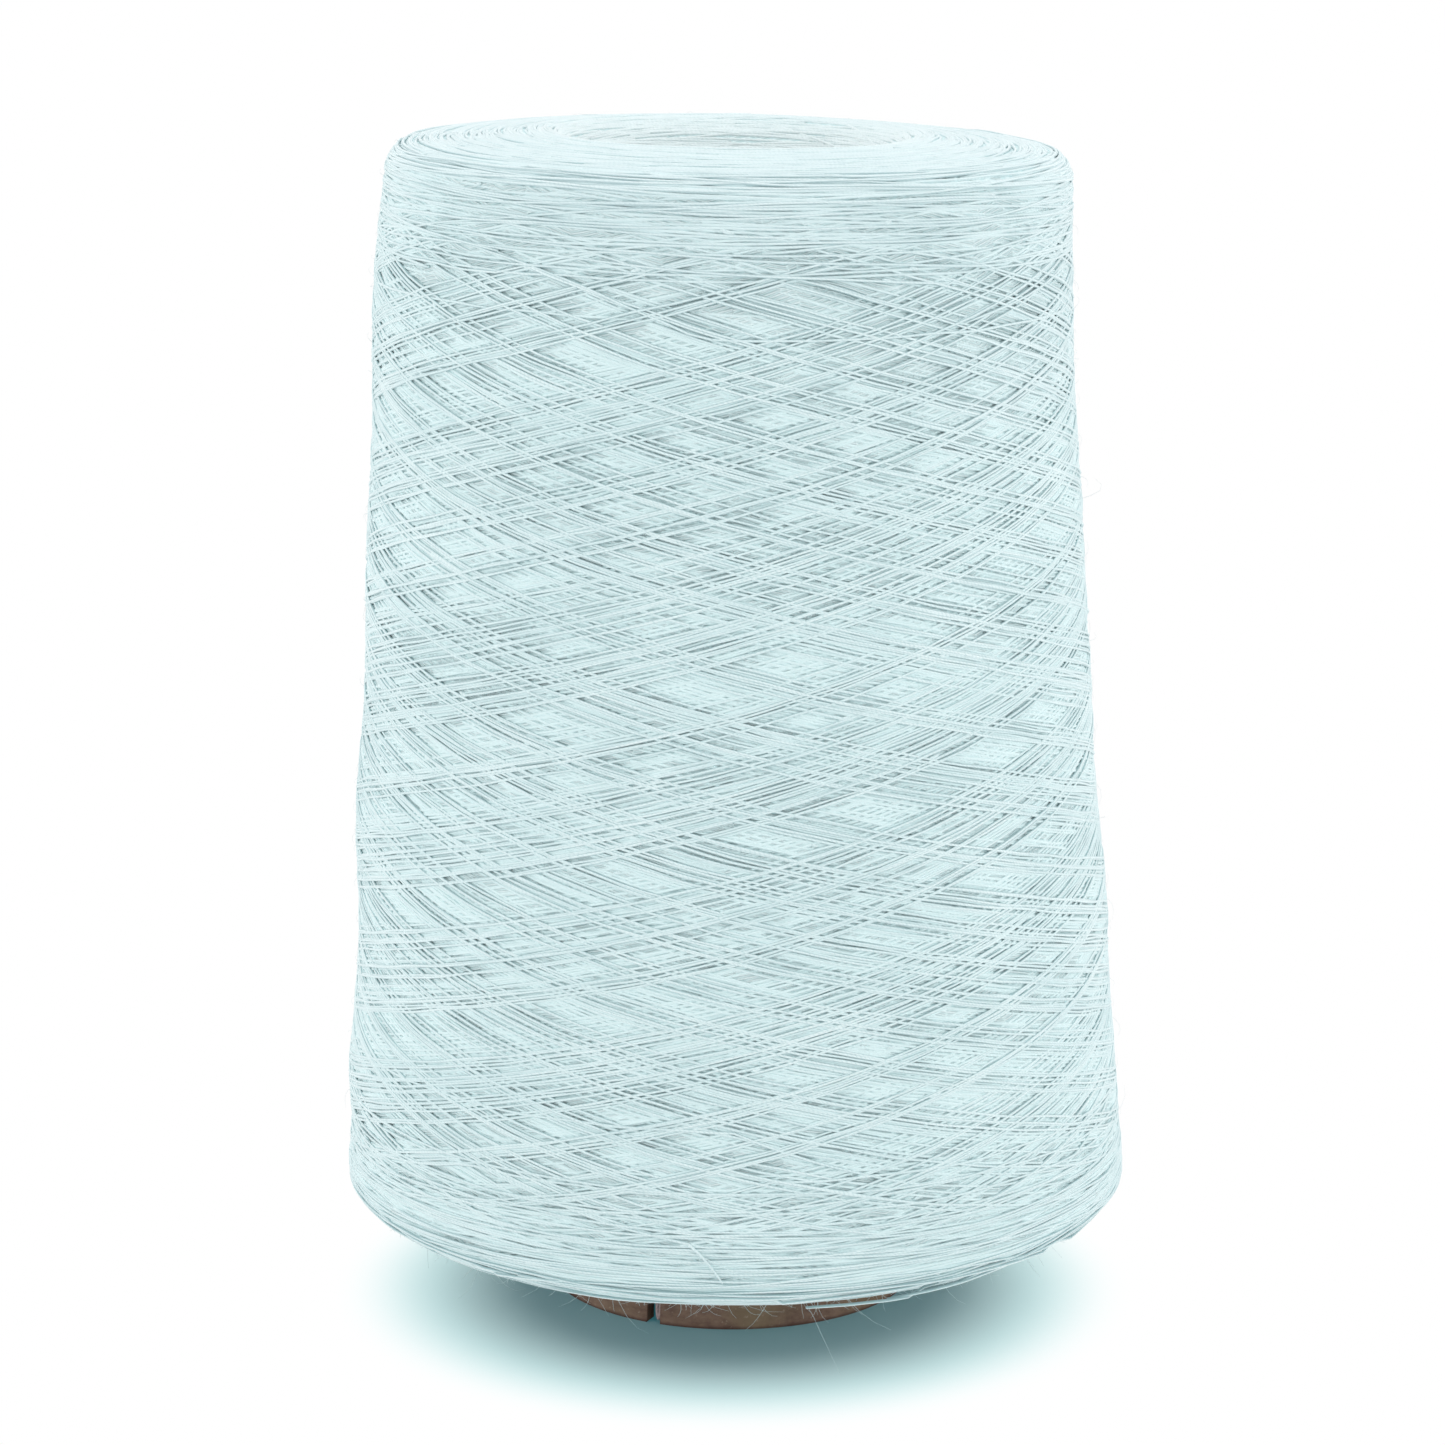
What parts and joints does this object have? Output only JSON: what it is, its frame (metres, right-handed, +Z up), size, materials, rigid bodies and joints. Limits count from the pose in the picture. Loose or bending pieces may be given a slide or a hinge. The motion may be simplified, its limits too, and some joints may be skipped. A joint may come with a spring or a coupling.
{
  "type": "thread cone",
  "caption": "Tapered package of crosswound thread on an open brown paper cone, whose base slit holds the first end of the thread.",
  "frame": {"origin": "centre of the paper cone's base rim, on the surface that it stands on", "axes": "+Z up the cone's axis towards its nose; -Y towards the side with the tail slit"},
  "size_m": [0.1185, 0.118, 0.1756],
  "materials": {
    "liner_paper": "smooth brown paper",
    "rolled_board": "glued grey-brown board, bare at its ends",
    "wrap_paper": "dark brown kraft paper, matte",
    "thread": "pale aqua plied thread, matte and slightly hairy",
    "wound_thread": "pale aqua thread, wound close"
  },
  "bodies": {
    "root": {"cone_liner": "liner_paper", "cone_board": "rolled_board", "cone_wrap": "wrap_paper", "starter_tail": "thread", "yarn_mass": "wound_thread", "outer_turns": "thread"}
  },
  "joints": []
}
